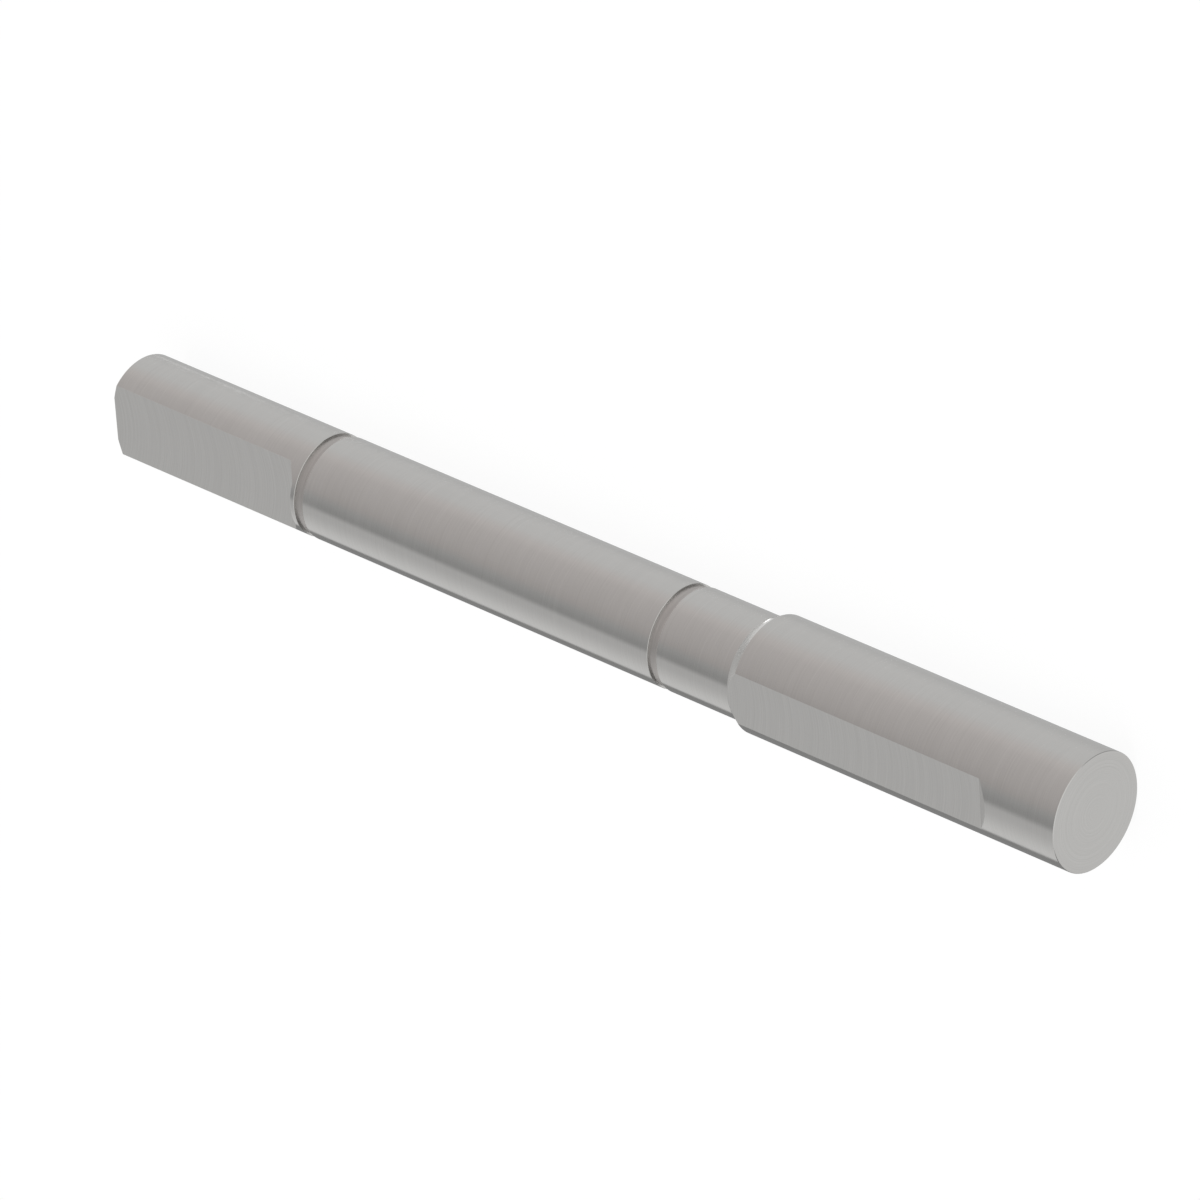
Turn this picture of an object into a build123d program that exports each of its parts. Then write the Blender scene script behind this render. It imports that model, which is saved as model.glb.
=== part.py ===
from build123d import *
import math
import os

# Stepped shaft: turned from one bar, with two retaining-ring grooves and two milled flats.
# Millimetres. The shaft lies along X, from the small end's face at the origin to the large end.
# +Z is up, and both flats face up, as the shaft lies once it has rolled to rest.

# Turned diameters and lengths
SMALL_DIAMETER = 10.0
LARGE_DIAMETER = 11.3
OVERALL_LENGTH = 115.9
LARGE_LENGTH = 37.2  # plain large diameter, from the shoulder cone's top to the end face
SHOULDER_ANGLE = 30.0  # cone between the two diameters, measured from the axis

# Lead-in chamfer on the small end, longer across the face than along the shaft
LEAD_IN_LENGTH = 0.45
LEAD_IN_DEPTH = 0.95

# Grooves for external retaining rings of a 10 mm shaft, each placed by its wall nearer the small end
GROOVE_DIAMETER = 9.6
GROOVE_WIDTH = 1.1
OUTER_GROOVE_START = 24.45
INNER_GROOVE_START = 68.05

# Deep drive flat at the small end: plane height from the axis, length to the foot of its runout
DRIVE_FLAT_HEIGHT = 3.38
DRIVE_FLAT_LENGTH = 22.85
DRIVE_RUNOUT_ANGLE = 45.0
DRIVE_RUNOUT_RISE = 1.13  # above this the runout turns into a square wall

# Shallow seat flat on the large diameter, almost level with the small diameter
SEAT_FLAT_HEIGHT = 5.02
SEAT_STUB_LENGTH = 8.85  # round stub left between the foot of the runout and the large end
SEAT_RUNOUT_ANGLE = 30.0
SEAT_RUNOUT_RISE = 1.0  # deeper than the flat, so the slope runs out through the round surface

# Seam where the turned faces begin and end, beside the lowest line so that no edge lies along it
SEAM_ANGLE = 3.6

# How far each cutting body reaches past the metal it removes
CUTTER_CLEARANCE = 1.0

SMALL_RADIUS = SMALL_DIAMETER / 2
LARGE_RADIUS = LARGE_DIAMETER / 2
GROOVE_RADIUS = GROOVE_DIAMETER / 2
CUTTER_OUTSIDE = LARGE_RADIUS + CUTTER_CLEARANCE


def slope_run(rise, angle):
    """Axial length of a slope that climbs by rise at angle degrees from the axis."""
    return rise / math.tan(math.radians(angle))


CONE_TOP = OVERALL_LENGTH - LARGE_LENGTH
CONE_FOOT = CONE_TOP - slope_run(LARGE_RADIUS - SMALL_RADIUS, SHOULDER_ANGLE)


def seam_plane():
    """Plane through the axis whose lower half meets the turned faces at their seam."""
    seam = math.radians(SEAM_ANGLE)
    return Plane(origin=(0, 0, 0), x_dir=(1, 0, 0), z_dir=(0, math.cos(seam), math.sin(seam)))


def turned_blank():
    """Half section spun about X: lead-in, small diameter, shoulder cone, large diameter."""
    outline = [
        (0, 0),
        (0, SMALL_RADIUS - LEAD_IN_DEPTH),
        (LEAD_IN_LENGTH, SMALL_RADIUS),
        (CONE_FOOT, SMALL_RADIUS),
        (CONE_TOP, LARGE_RADIUS),
        (OVERALL_LENGTH, LARGE_RADIUS),
        (OVERALL_LENGTH, 0),
    ]
    with BuildPart() as blank:
        with BuildSketch(seam_plane()):
            with BuildLine():
                Polyline(*outline, close=True)
            make_face()
        revolve(axis=Axis.X)
    return blank.part


def ring_groove(start):
    """Square-walled ring of metal that one groove removes."""
    across = SMALL_RADIUS + CUTTER_CLEARANCE - GROOVE_RADIUS
    with BuildPart() as groove:
        with BuildSketch(Plane.XZ):
            with Locations((start + GROOVE_WIDTH / 2, GROOVE_RADIUS + across / 2)):
                Rectangle(GROOVE_WIDTH, across)
        revolve(axis=Axis.X)
    return groove.part


def milled_flat(start, foot, height, runout_angle, runout_rise):
    """Cutting body for a flat on +Z: its plane, the sloping runout at +X and a square wall above."""
    runout_top = foot + slope_run(runout_rise, runout_angle)
    outline = [
        (start, height),
        (foot, height),
        (runout_top, height + runout_rise),
        (runout_top, CUTTER_OUTSIDE),
        (start, CUTTER_OUTSIDE),
    ]
    with BuildPart() as cutter:
        with BuildSketch(Plane.XZ):
            with BuildLine():
                Polyline(*outline, close=True)
            make_face()
        extrude(amount=CUTTER_OUTSIDE, both=True)
    return cutter.part


def stepped_shaft():
    """The finished shaft as one solid."""
    drive_flat = milled_flat(
        -CUTTER_CLEARANCE,
        DRIVE_FLAT_LENGTH,
        DRIVE_FLAT_HEIGHT,
        DRIVE_RUNOUT_ANGLE,
        DRIVE_RUNOUT_RISE,
    )
    seat_flat = milled_flat(
        CONE_FOOT - CUTTER_CLEARANCE,
        OVERALL_LENGTH - SEAT_STUB_LENGTH,
        SEAT_FLAT_HEIGHT,
        SEAT_RUNOUT_ANGLE,
        SEAT_RUNOUT_RISE,
    )
    shaft = turned_blank()
    for start in (OUTER_GROOVE_START, INNER_GROOVE_START):
        shaft -= ring_groove(start)
    shaft -= drive_flat
    shaft -= seat_flat
    return shaft


os.makedirs("parts", exist_ok=True)
export_step(stepped_shaft(), "parts/stepped_shaft.step")
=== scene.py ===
"""Stepped steel shaft on a white floor, seen from beside and above its large end."""

import math

import bpy
import bmesh
from mathutils import Matrix, Vector


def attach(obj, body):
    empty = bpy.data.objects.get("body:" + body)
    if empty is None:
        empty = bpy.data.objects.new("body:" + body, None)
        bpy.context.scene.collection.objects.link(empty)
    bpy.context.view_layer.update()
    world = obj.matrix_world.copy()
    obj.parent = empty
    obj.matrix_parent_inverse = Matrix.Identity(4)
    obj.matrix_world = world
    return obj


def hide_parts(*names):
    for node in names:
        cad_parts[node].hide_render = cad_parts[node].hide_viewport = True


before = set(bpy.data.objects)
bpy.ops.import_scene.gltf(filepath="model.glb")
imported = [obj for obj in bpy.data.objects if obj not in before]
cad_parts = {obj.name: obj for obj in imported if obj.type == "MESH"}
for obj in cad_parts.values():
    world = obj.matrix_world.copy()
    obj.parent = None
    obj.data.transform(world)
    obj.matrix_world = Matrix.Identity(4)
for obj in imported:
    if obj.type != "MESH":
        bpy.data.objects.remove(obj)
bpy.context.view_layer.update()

MM = 0.001

# The shaft's sizes, in millimetres and degrees, as in the CAD source
SMALL_RADIUS = 5.0
LARGE_RADIUS = 5.65
LENGTH = 115.9
CONE_FOOT = 77.574
CONE_TOP = 78.7
LEAD_IN_LENGTH = 0.45
LEAD_IN_DEPTH = 0.95
GROOVE_RADIUS = 4.8
GROOVE_WIDTH = 1.1
GROOVE_STARTS = (24.45, 68.05)
DRIVE_FLAT = {"start": -1.0, "foot": 22.85, "height": 3.38, "angle": 45.0, "rise": 1.13}
SEAT_FLAT = {"start": 76.5, "foot": 107.05, "height": 5.02, "angle": 30.0, "rise": 1.0}

# How far sharp edges were broken at the lathe, in millimetres
GROOVE_BREAK = 0.03
RIM_BREAK = 0.05

SEGMENTS = 320  # round the shaft
CUTTER_REACH = 8.0  # millimetres from the axis, clear of the shaft on every side
SHARP_ANGLE = 8.0  # degrees between two faces, beyond which their edge is drawn sharp

# Finishes in the order of the mesh's material slots
# the finish of the groove walls and broken edges is brightened as a painted highlight
# the groove floors' finish is darkened as painted shade
GROUND, FACED, SHADED_GROOVE, BRIGHT, MILLED = range(5)


def placed(name, data):
    """New object in the scene."""
    made = bpy.data.objects.new(name, data)
    bpy.context.scene.collection.objects.link(made)
    return made


# ---------------------------------------------------------------- mesh


def half_section():
    """Turned outline from end to end: points (x, radius, finish of the face that ends there)."""
    points = [
        (0.0, SMALL_RADIUS - LEAD_IN_DEPTH, FACED),
        (LEAD_IN_LENGTH, SMALL_RADIUS, GROUND),
    ]
    for start in GROOVE_STARTS:
        end = start + GROOVE_WIDTH
        points += [
            (start - GROOVE_BREAK, SMALL_RADIUS, GROUND),
            # groove walls and broken edges, in the steel brightened as a painted highlight
            (start, SMALL_RADIUS - GROOVE_BREAK, BRIGHT),
            (start, GROOVE_RADIUS, BRIGHT),
            # groove floor, in the steel darkened as painted shade
            (end, GROOVE_RADIUS, SHADED_GROOVE),
            (end, SMALL_RADIUS - GROOVE_BREAK, BRIGHT),
            (end + GROOVE_BREAK, SMALL_RADIUS, BRIGHT),
        ]
    points += [
        (CONE_FOOT, SMALL_RADIUS, GROUND),
        (CONE_TOP, LARGE_RADIUS, GROUND),
        (LENGTH - RIM_BREAK, LARGE_RADIUS, GROUND),
        # broken rim, in the steel brightened as a painted highlight
        (LENGTH, LARGE_RADIUS - RIM_BREAK, BRIGHT),
    ]
    return points


def closed_mesh(name, bm, finishes):
    """Mesh of a closed shape, with its faces turned outwards and the finishes in its slots."""
    bmesh.ops.recalc_face_normals(bm, faces=bm.faces)
    mesh = bpy.data.meshes.new(name)
    bm.to_mesh(mesh)
    bm.free()
    for finish in finishes:
        mesh.materials.append(finish)
    return mesh


def turned_mesh(finishes):
    """The half section spun about X, closed by a face at each end.

    The corners start half a step off the vertical, so that none lies on the top or bottom line.
    """
    bm = bmesh.new()
    section = half_section()
    rings = []
    for x, radius, _ in section:
        ring = []
        for i in range(SEGMENTS):
            angle = 2 * math.pi * (i + 0.5) / SEGMENTS
            y, z = radius * math.sin(angle), radius * math.cos(angle)
            ring.append(bm.verts.new((x * MM, y * MM, z * MM)))
        rings.append(ring)
    for ring in (rings[0], rings[-1]):
        bm.faces.new(ring).material_index = FACED
    for near, far, (_, _, finish) in zip(rings, rings[1:], section[1:]):
        for i in range(SEGMENTS):
            j = (i + 1) % SEGMENTS
            bm.faces.new((near[i], far[i], far[j], near[j])).material_index = finish
    return closed_mesh("turned", bm, finishes)


def flat_cutter(name, flat, finishes):
    """Prism that removes everything above a flat, its sloping runout and the wall over that."""
    top = flat["foot"] + flat["rise"] / math.tan(math.radians(flat["angle"]))
    outline = [
        (flat["start"], flat["height"]),
        (flat["foot"], flat["height"]),
        (top, flat["height"] + flat["rise"]),
        (top, CUTTER_REACH),
        (flat["start"], CUTTER_REACH),
    ]
    bm = bmesh.new()
    left, right = (
        [bm.verts.new((x * MM, y * MM, z * MM)) for x, z in outline]
        for y in (-CUTTER_REACH, CUTTER_REACH)
    )
    bm.faces.new(left)
    bm.faces.new(right)
    for i in range(len(outline)):
        j = (i + 1) % len(outline)
        bm.faces.new((left[i], right[i], right[j], left[j]))
    for face in bm.faces:
        face.material_index = MILLED
    return placed(name, closed_mesh(name, bm, finishes))


def shaft_object(finishes):
    """The turned blank with both flats milled, as one closed mesh."""
    blank = placed("blank", turned_mesh(finishes))
    cutters = [
        flat_cutter("drive_cutter", DRIVE_FLAT, finishes),
        flat_cutter("seat_cutter", SEAT_FLAT, finishes),
    ]
    for cutter in cutters:
        cut = blank.modifiers.new(cutter.name, "BOOLEAN")
        cut.operation = "DIFFERENCE"
        cut.solver = "EXACT"
        cut.object = cutter
    graph = bpy.context.evaluated_depsgraph_get()
    mesh = bpy.data.meshes.new_from_object(blank.evaluated_get(graph))
    for temporary in [blank, *cutters]:
        old = temporary.data
        bpy.data.objects.remove(temporary)
        bpy.data.meshes.remove(old)
    mesh.name = "shaft_steel"
    for face in mesh.polygons:
        face.use_smooth = True
    mesh.set_sharp_from_angle(angle=math.radians(SHARP_ANGLE))
    return placed("shaft_steel", mesh)


# ---------------------------------------------------------------- nodes

# A Mix node has its sockets for every type of data at once; these are the ones for colours
MIX_FACTOR, MIX_FIRST, MIX_SECOND, MIX_RESULT = 0, 6, 7, 2


def plug(tree, value, socket):
    """Link an output to an input socket, or set the input to a plain value."""
    if isinstance(value, bpy.types.NodeSocket):
        tree.links.new(value, socket)
    else:
        socket.default_value = value


def node(tree, kind, **settings):
    """New node; a keyword names a property or an input socket, with spaces as underscores."""
    new = tree.nodes.new(kind)
    for key, value in settings.items():
        if hasattr(new, key):
            setattr(new, key, value)
        else:
            plug(tree, value, new.inputs[key.replace("_", " ")])
    return new


def math_node(tree, operation, *values):
    """Maths on values or sockets."""
    new = node(tree, "ShaderNodeMath", operation=operation)
    for value, socket in zip(values, new.inputs):
        plug(tree, value, socket)
    return new.outputs[0]


def vector_math(tree, operation, *values):
    """Maths on vectors, or on the sockets that carry them."""
    new = node(tree, "ShaderNodeVectorMath", operation=operation)
    for value, socket in zip(values, new.inputs):
        plug(tree, value, socket)
    return new


def weighted(tree, first, second, share):
    """Average of two values, in which the first has the given share."""
    rest = math_node(tree, "MULTIPLY", second, 1.0 - share)
    return math_node(tree, "MULTIPLY_ADD", first, share, rest)


def blend(tree, factor, first, second):
    """Mix of two colours."""
    mixed = node(tree, "ShaderNodeMix", data_type="RGBA")
    plug(tree, factor, mixed.inputs[MIX_FACTOR])
    plug(tree, first, mixed.inputs[MIX_FIRST])
    plug(tree, second, mixed.inputs[MIX_SECOND])
    return mixed.outputs[MIX_RESULT]


def grey(value):
    """Opaque grey of a given brightness."""
    return (value, value, value, 1.0)


def ramp(tree, factor, stops):
    """Colour ramp, straight between its (position, colour) stops."""
    new = tree.nodes.new("ShaderNodeValToRGB")
    plug(tree, factor, new.inputs[0])
    new.color_ramp.interpolation = "LINEAR"
    elements = new.color_ramp.elements
    while len(elements) > 1:
        elements.remove(elements[-1])
    elements[0].position, elements[0].color = stops[0]
    for position, colour in stops[1:]:
        elements.new(position).color = colour
    return new.outputs["Color"]


# ---------------------------------------------------------------- steel

# Reflectance of the clean steel, slightly warm
STEEL = (0.526, 0.520, 0.507)
# Darker steel on the groove floors: painted shade for the recess of the grooves
GROOVE_SHADE_STEEL = (0.435, 0.415, 0.40)
# Brighter metal for edges that handling has worn, and a painted highlight on the groove walls and the
# broken edges
WORN_AND_HIGHLIGHT_STEEL = (0.60, 0.594, 0.58)

NOISE_ROUGHNESS = 0.6  # of each finer layer of a noise, against the one before
NOISE_RANGE = (0.3, 0.7)  # where nearly all of a noise's values lie

SMEAR_SHARE = 0.5  # of the smears in the uneven gloss, the rest being the finish's own patches
MARK_SHARE = 0.8  # of the tool marks in the tone, the rest being the uneven gloss

EDGE_WIDTH = 0.08  # millimetres over which handling has brightened an edge
EDGE_COSINES = (0.995, 0.93)  # between the true and the rounded normal, where wear starts and is full
EDGE_SAMPLES = 4  # of the rounded normal
CHIP_SCALE = (2600.0, 2600.0, 2600.0)  # of the noise that breaks up the wear, per metre
CHIP_LEAST = 0.35  # of the wear that is left between the chips
WORN_ROUGHER = 0.08  # roughness that full wear adds

QUARTER_TURN = 0.25  # lays the stretched highlight across the lines that run round the shaft


def stretched_noise(tree, place, scale, detail=2.0, distortion=0.0):
    """Noise whose grain is stretched by unequal scales, per metre, on X, Y and Z."""
    drawn = node(tree, "ShaderNodeMapping", vector_type="POINT", Vector=place, Scale=scale)
    grain = node(
        tree,
        "ShaderNodeTexNoise",
        noise_dimensions="3D",
        Vector=drawn.outputs["Vector"],
        Scale=1.0,
        Detail=detail,
        Roughness=NOISE_ROUGHNESS,
        Distortion=distortion,
    )
    return grain.outputs["Fac"]


def spread(tree, noise, low, high):
    """A noise carried onto a range, and held at the range's ends."""
    start, end = NOISE_RANGE
    carried = node(
        tree,
        "ShaderNodeMapRange",
        Value=noise,
        From_Min=start,
        From_Max=end,
        To_Min=low,
        To_Max=high,
    )
    return carried.outputs["Result"]


def shaded(tree, colour, noise, contrast):
    """A colour that a noise darkens and lightens by the contrast."""
    shade = spread(tree, noise, 1.0 - contrast, 1.0 + contrast)
    shades = node(tree, "ShaderNodeCombineXYZ", X=shade, Y=shade, Z=shade)
    return vector_math(tree, "MULTIPLY", shades.outputs[0], colour).outputs[0]


def worn_edges(tree, place):
    """1 on an edge that handling has brightened and 0 away from the edges, broken up by chips."""
    rounded = node(tree, "ShaderNodeBevel", samples=EDGE_SAMPLES, Radius=EDGE_WIDTH * MM)
    true = node(tree, "ShaderNodeNewGeometry")
    cosine = vector_math(tree, "DOT_PRODUCT", rounded.outputs["Normal"], true.outputs["Normal"])
    start, full = EDGE_COSINES
    worn = node(
        tree,
        "ShaderNodeMapRange",
        Value=cosine.outputs["Value"],
        From_Min=start,
        From_Max=full,
    )
    chips = spread(tree, stretched_noise(tree, place, CHIP_SCALE), CHIP_LEAST, 1.0)
    return math_node(tree, "MULTIPLY", worn.outputs["Result"], chips)


def steel(name, colour, marks, mark_depth, contrast, roughness, brushed=0.0):
    """Steel with tool marks in relief and tone, uneven gloss and worn edges.

    marks(tree, place) gives the height of the marks, from 0 to 1, and slower 0 to 1 patches over
    the surface. mark_depth is in millimetres, contrast is how much the marks lighten and darken
    the steel, roughness is (low, high), and brushed is how far the highlight is stretched.
    """
    material = bpy.data.materials.new(name)
    material.use_nodes = True
    tree = material.node_tree
    shader = tree.nodes["Principled BSDF"]
    place = node(tree, "ShaderNodeTexCoord").outputs["Object"]
    height, patches = marks(tree, place)

    # finger marks and handling: broad and soft, mostly in the gloss
    smears = stretched_noise(tree, place, scale=(180.0, 260.0, 260.0), detail=3.0, distortion=0.6)
    uneven = weighted(tree, smears, patches, SMEAR_SHARE)
    worn = worn_edges(tree, place)

    tone = weighted(tree, height, uneven, MARK_SHARE)
    body = shaded(tree, colour, tone, contrast)
    plug(tree, blend(tree, worn, body, (*WORN_AND_HIGHLIGHT_STEEL, 1.0)), shader.inputs["Base Color"])
    gloss = spread(tree, uneven, *roughness)
    rough = math_node(tree, "MULTIPLY_ADD", worn, WORN_ROUGHER, gloss)
    plug(tree, rough, shader.inputs["Roughness"])
    bump = node(tree, "ShaderNodeBump", Strength=1.0, Distance=mark_depth * MM, Height=height)
    plug(tree, bump.outputs["Normal"], shader.inputs["Normal"])
    shader.inputs["Metallic"].default_value = 1.0
    if brushed:
        around = node(tree, "ShaderNodeTangent", direction_type="RADIAL", axis="X")
        plug(tree, around.outputs["Tangent"], shader.inputs["Tangent"])
        shader.inputs["Anisotropic"].default_value = brushed
        shader.inputs["Anisotropic Rotation"].default_value = QUARTER_TURN
    return material


def ground_marks(tree, place):
    """Fine lines round the shaft from the grinding wheel, in groups of uneven depth."""
    fine = stretched_noise(tree, place, scale=(16000.0, 160.0, 160.0))
    groups = stretched_noise(tree, place, scale=(2400.0, 60.0, 60.0))
    height = weighted(tree, groups, fine, share=0.2)
    return height, stretched_noise(tree, place, scale=(700.0, 90.0, 90.0))


def groove_marks(tree, place):
    """Coarser rings from the parting tool."""
    rings = stretched_noise(tree, place, scale=(9000.0, 220.0, 220.0), detail=3.0)
    return rings, stretched_noise(tree, place, scale=(1500.0, 300.0, 300.0), detail=3.0)


def faced_marks(tree, place):
    """Rings about the axis from facing the end in the lathe."""
    axes = node(tree, "ShaderNodeSeparateXYZ", Vector=place).outputs
    upright = math_node(tree, "MULTIPLY", axes["Z"], axes["Z"])
    radius = math_node(tree, "SQRT", math_node(tree, "MULTIPLY_ADD", axes["Y"], axes["Y"], upright))
    around = node(tree, "ShaderNodeCombineXYZ", X=radius, Y=axes["Y"], Z=axes["Z"]).outputs[0]
    rings = stretched_noise(tree, around, scale=(13000.0, 120.0, 120.0))
    return rings, stretched_noise(tree, around, scale=(900.0, 150.0, 150.0))


CUTTER_RADIUS = 10.0  # of the end mill that cut the flats, in millimetres


def milled_marks(tree, place):
    """Shallow arcs that a milling cutter leaves as it feeds along X."""
    axes = node(tree, "ShaderNodeSeparateXYZ", Vector=place).outputs
    aside = math_node(tree, "MULTIPLY", axes["Y"], axes["Y"])
    bend = 1 / (2 * CUTTER_RADIUS * MM)
    feed = math_node(tree, "MULTIPLY_ADD", aside, bend, axes["X"])
    bent = node(tree, "ShaderNodeCombineXYZ", X=feed, Y=axes["Y"], Z=axes["Z"]).outputs[0]
    arcs = stretched_noise(tree, bent, scale=(9000.0, 90.0, 90.0))
    return arcs, stretched_noise(tree, bent, scale=(500.0, 120.0, 120.0))


# ---------------------------------------------------------------- studio

# Brightness of the studio beyond the shaft's small end and beyond its large end. Angles are about X
# from straight up towards +Y, the camera's side, in degrees.
FAR_SIDE = (
    # light from below, fading towards the back
    (-180.0, 0.66),
    (-165.0, 0.60),
    (-150.0, 0.49),
    (-141.0, 0.42),
    # dark gap low behind
    (-136.0, 0.25),
    (-125.0, 0.27),
    (-108.0, 0.31),
    (-96.0, 0.31),
    # soft box behind, fading upwards
    (-90.0, 0.84),
    (-78.0, 0.86),
    (-66.0, 0.83),
    (-50.0, 0.745),
    (-40.0, 0.69),
    (-27.0, 0.66),
    # dim gap overhead
    (-17.0, 0.42),
    (-10.0, 0.43),
    # warm soft box in front, brighter lower down
    (0.0, 0.48),
    (15.0, 0.54),
    (30.0, 0.59),
    (60.0, 0.65),
    (80.0, 0.69),
    (95.0, 0.755),
    # light from below again
    (118.0, 0.83),
    (145.0, 0.83),
    (160.0, 0.78),
    (180.0, 0.66),
)
NEAR_SIDE = (
    # light from below
    (-180.0, 0.60),
    (-168.0, 0.82),
    (-140.0, 0.87),
    (-112.0, 0.84),
    # dark gap behind
    (-102.0, 0.28),
    (-70.0, 0.24),
    # broad soft box overhead and in front
    (-60.0, 0.78),
    (-30.0, 0.90),
    (25.0, 0.96),
    (60.0, 0.98),
    (95.0, 0.95),
    (112.0, 0.82),
    # dim gap low in front
    (122.0, 0.45),
    (170.0, 0.42),
    (180.0, 0.60),
)
# Tint of the far side's warm soft box, and the angles that it spans
WARM = (1.048, 1.0, 0.985)
WARM_FROM, WARM_TO = 5.0, 100.0
# Where the far side starts and has fully changed into the near side, as the X of a direction
NEAR_BLEND = (-0.45, 0.3)

# Round the -X pole the light is even, dimmer towards -Y and brighter downwards. Each blend starts and
# ends at the given X, Y or Z of a direction.
POLE_LIGHT = 0.84
POLE_DIM = 0.73
POLE_BRIGHT = 0.95
POLE_BLEND = (-0.665, -0.74)
DIM_BLEND = (-0.22, -0.45)
BRIGHT_BLEND = (-0.15, -0.4)

# A short bright tube lamp near the pole, from one direction to another. It fades in between two
# cosines to its middle, and between two sines to the plane that it lies in.
TUBE_ENDS = ((-0.67, -0.035, -0.74), (-0.76, 0.035, -0.65))
TUBE_LIGHT = 4.0
TUBE_COSINES = (0.994, 0.9985)
TUBE_SINES = (0.09, 0.04)


def soft_boxes(tree, place, stops, warmth=None):
    """Bands of light about X, as a ramp over the angle."""
    bands = []
    for angle, value in stops:
        lit = grey(value)
        if warmth and WARM_FROM <= angle <= WARM_TO:
            lit = (*(value * part for part in warmth), 1.0)
        bands.append(((angle + 180.0) / 360.0, lit))
    return ramp(tree, place, bands)


def smooth_step(tree, value, limits):
    """0 to 1 as a value goes from the first limit to the second."""
    start, end = limits
    step = node(
        tree,
        "ShaderNodeMapRange",
        interpolation_type="SMOOTHSTEP",
        Value=value,
        From_Min=start,
        From_Max=end,
    )
    return step.outputs["Result"]


def toward(tree, direction, aim):
    """Cosine of the angle between a direction and a fixed one."""
    return vector_math(tree, "DOT_PRODUCT", direction, aim.normalized()).outputs["Value"]


def pole_light(tree, axes):
    """Colour of the light round the -X pole."""
    dim = smooth_step(tree, axes["Y"], DIM_BLEND)
    bright = smooth_step(tree, axes["Z"], BRIGHT_BLEND)
    return blend(tree, bright, blend(tree, dim, grey(POLE_LIGHT), grey(POLE_DIM)), grey(POLE_BRIGHT))


def tube_mask(tree, direction):
    """1 in the directions of the tube lamp and 0 in all others."""
    first, last = (Vector(end).normalized() for end in TUBE_ENDS)
    within = smooth_step(tree, toward(tree, direction, first + last), TUBE_COSINES)
    beside = math_node(tree, "ABSOLUTE", toward(tree, direction, first.cross(last)))
    return math_node(tree, "MULTIPLY", within, smooth_step(tree, beside, TUBE_SINES))


def studio_world():
    """White to the camera, and a studio of soft boxes to whatever mirrors it."""
    world = bpy.data.worlds.new("studio")
    bpy.context.scene.world = world
    world.use_nodes = True
    # glossy steel meets the soft boxes by itself, and aiming rays at them would only cost time
    world.cycles.sampling_method = "NONE"
    tree = world.node_tree
    tree.nodes.clear()
    direction = node(tree, "ShaderNodeTexCoord").outputs["Generated"]
    axes = node(tree, "ShaderNodeSeparateXYZ", Vector=direction).outputs
    turn = math_node(tree, "ARCTAN2", axes["Y"], axes["Z"])
    place = math_node(tree, "MULTIPLY_ADD", turn, 1 / (2 * math.pi), 0.5)

    far = soft_boxes(tree, place, FAR_SIDE, WARM)
    far = blend(tree, smooth_step(tree, axes["X"], POLE_BLEND), far, pole_light(tree, axes))
    far = blend(tree, tube_mask(tree, direction), far, grey(TUBE_LIGHT))
    near = soft_boxes(tree, place, NEAR_SIDE)
    lit = blend(tree, smooth_step(tree, axes["X"], NEAR_BLEND), far, near)

    path = node(tree, "ShaderNodeLightPath")
    shown = blend(tree, path.outputs["Is Camera Ray"], lit, grey(1.0))
    light = node(tree, "ShaderNodeBackground", Color=shown, Strength=1.0)
    out = node(tree, "ShaderNodeOutputWorld")
    plug(tree, light.outputs[0], out.inputs["Surface"])


FLOOR_SIDE = 4.0  # metres
FLOOR_PAPER = 0.9  # how much light the paper sends back
FLOOR_SHADE = 0.06  # how much of a shadow the camera sees on the white floor


def mixed_shader(tree, factor, first, second):
    """Mix of two nodes' shaders."""
    mixed = node(tree, "ShaderNodeMixShader", Fac=factor)
    plug(tree, first.outputs[0], mixed.inputs[1])
    plug(tree, second.outputs[0], mixed.inputs[2])
    return mixed


def floor_material():
    """Paper that is almost pure white to the camera and that the steel does not mirror."""
    material = bpy.data.materials.new("white_floor")
    material.use_nodes = True
    tree = material.node_tree
    tree.nodes.clear()
    paper = node(tree, "ShaderNodeBsdfDiffuse", Color=grey(FLOOR_PAPER))
    glow = node(tree, "ShaderNodeEmission", Color=grey(1.0), Strength=1.0)
    clear = node(tree, "ShaderNodeBsdfTransparent")
    path = node(tree, "ShaderNodeLightPath").outputs
    white = mixed_shader(tree, 1.0 - FLOOR_SHADE, paper, glow)
    seen = mixed_shader(tree, path["Is Camera Ray"], paper, white)
    surface = mixed_shader(tree, path["Is Glossy Ray"], seen, clear)
    out = node(tree, "ShaderNodeOutputMaterial")
    plug(tree, surface.outputs[0], out.inputs["Surface"])
    return material


def floor():
    """White floor that touches the lowest line of the large diameter."""
    mesh = bpy.data.meshes.new("floor")
    half = FLOOR_SIDE / 2
    low = -LARGE_RADIUS * MM
    corners = [(-half, -half, low), (half, -half, low), (half, half, low), (-half, half, low)]
    mesh.from_pydata(corners, [], [(0, 1, 2, 3)])
    mesh.materials.append(floor_material())
    plane = placed("floor", mesh)


LAMP_POWER = 9.0  # watts
LAMP_SIZE = 1.2  # metres
LAMP_HEIGHT = 1.2  # metres above the shaft's axis


def overhead_lamp():
    """Large soft lamp that the steel does not mirror, so that the shaft has a soft shadow."""
    data = bpy.data.lights.new("overhead", "AREA")
    data.size = LAMP_SIZE
    data.energy = LAMP_POWER
    lamp = placed("overhead", data)
    lamp.location = (LENGTH * MM / 2, 0.0, LAMP_HEIGHT)
    lamp.visible_glossy = False


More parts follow.
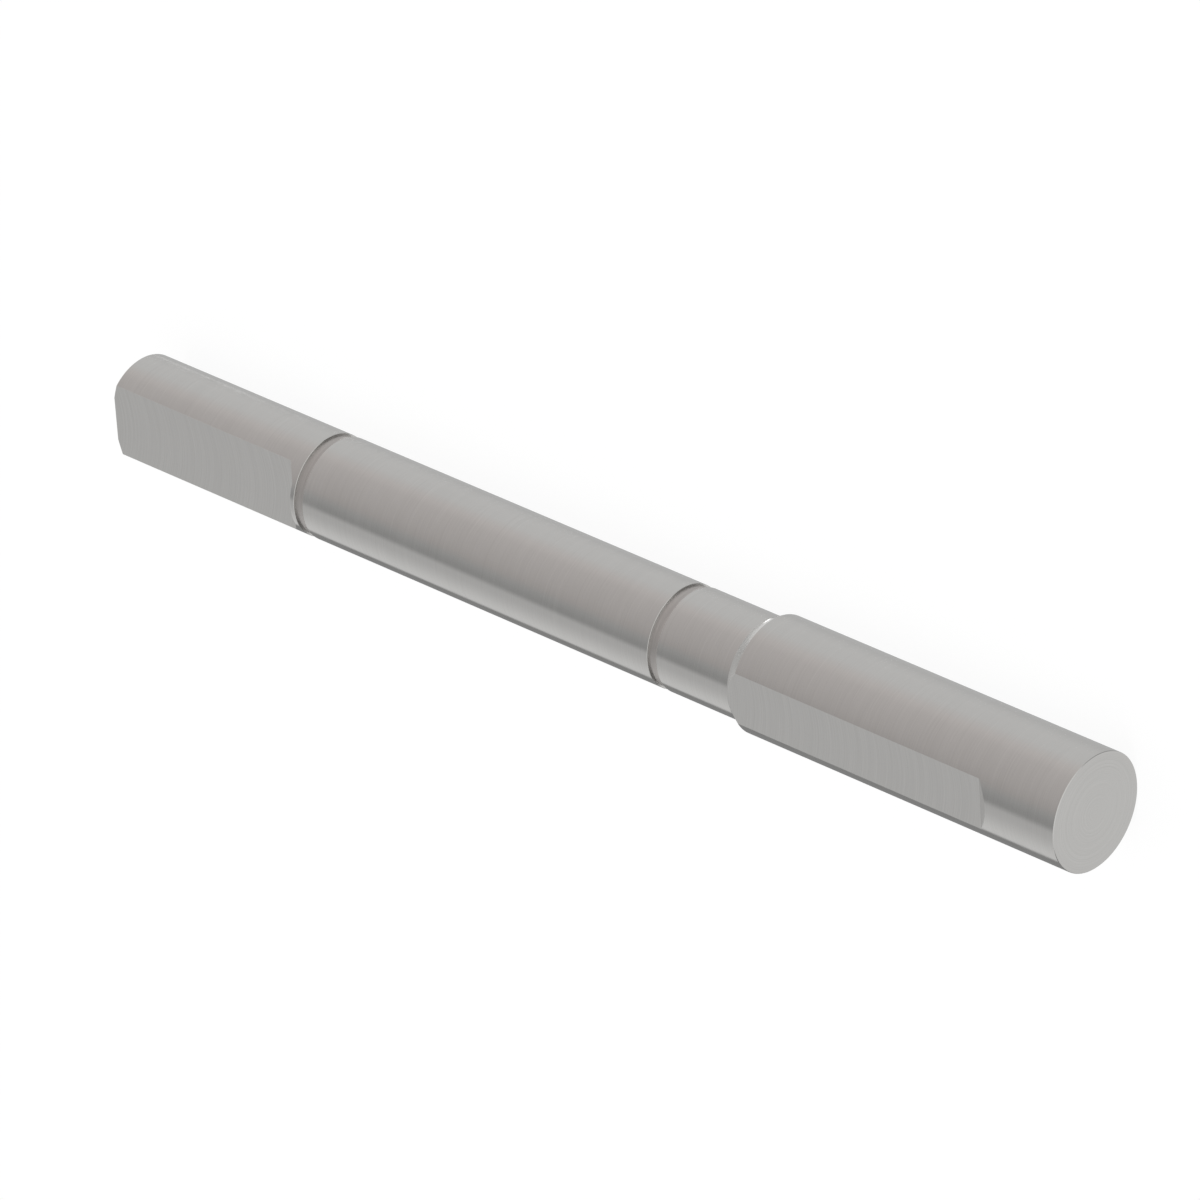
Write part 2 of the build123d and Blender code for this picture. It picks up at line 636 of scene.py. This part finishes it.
# The photograph's view of the shaft: the camera's place in metres, the direction from the shaft back
# to it, roughly its up, which sets the roll, and its lens and sensor in millimetres
CAMERA_PLACE = (0.625256, 0.493543, 0.580050)
CAMERA_BACK = (0.59747, 0.51964, 0.61073)
CAMERA_UP = (-0.31583, 0.85255, -0.41642)
CAMERA_LENS = 317.61
CAMERA_SENSOR = 36.0
CAMERA_NEAREST, CAMERA_FARTHEST = 0.01, 20.0  # metres


def camera():
    """Long lens from beside and above the large end."""
    data = bpy.data.cameras.new("camera")
    data.sensor_width = CAMERA_SENSOR
    data.lens = CAMERA_LENS
    data.clip_start = CAMERA_NEAREST
    data.clip_end = CAMERA_FARTHEST
    view = placed("camera", data)
    back = Vector(CAMERA_BACK).normalized()
    right = Vector(CAMERA_UP).cross(back).normalized()
    up = back.cross(right)
    turn = Matrix((right, up, back)).transposed().to_4x4()
    view.matrix_world = Matrix.Translation(CAMERA_PLACE) @ turn
    bpy.context.scene.camera = view


# ---------------------------------------------------------------- scene

ground_steel = steel(
    "ground_steel",
    STEEL,
    ground_marks,
    mark_depth=0.002,
    contrast=0.05,
    roughness=(0.09, 0.17),
    brushed=0.4,
)
faced_steel = steel(
    "faced_steel",
    STEEL,
    faced_marks,
    mark_depth=0.003,
    contrast=0.045,
    roughness=(0.12, 0.20),
    brushed=0.4,
)
# groove floors: steel darkened as painted shade in the recess, and rougher
grooved_shade_steel = steel(
    "grooved_shade_steel",
    GROOVE_SHADE_STEEL,
    groove_marks,
    mark_depth=0.003,
    contrast=0.12,
    roughness=(0.34, 0.44),
)
# groove walls and broken edges: steel brightened as a painted highlight
bright_highlight_steel = steel(
    "bright_highlight_steel",
    WORN_AND_HIGHLIGHT_STEEL,
    groove_marks,
    mark_depth=0.002,
    contrast=0.08,
    roughness=(0.16, 0.26),
)
milled_steel = steel(
    "milled_steel",
    STEEL,
    milled_marks,
    mark_depth=0.003,
    contrast=0.045,
    roughness=(0.11, 0.19),
)
shaft = shaft_object((ground_steel, faced_steel, grooved_shade_steel, bright_highlight_steel, milled_steel))
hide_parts("stepped_shaft")
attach(shaft, "root")
studio_world()
floor()
overhead_lamp()
camera()
bpy.context.scene.view_settings.view_transform = "Standard"
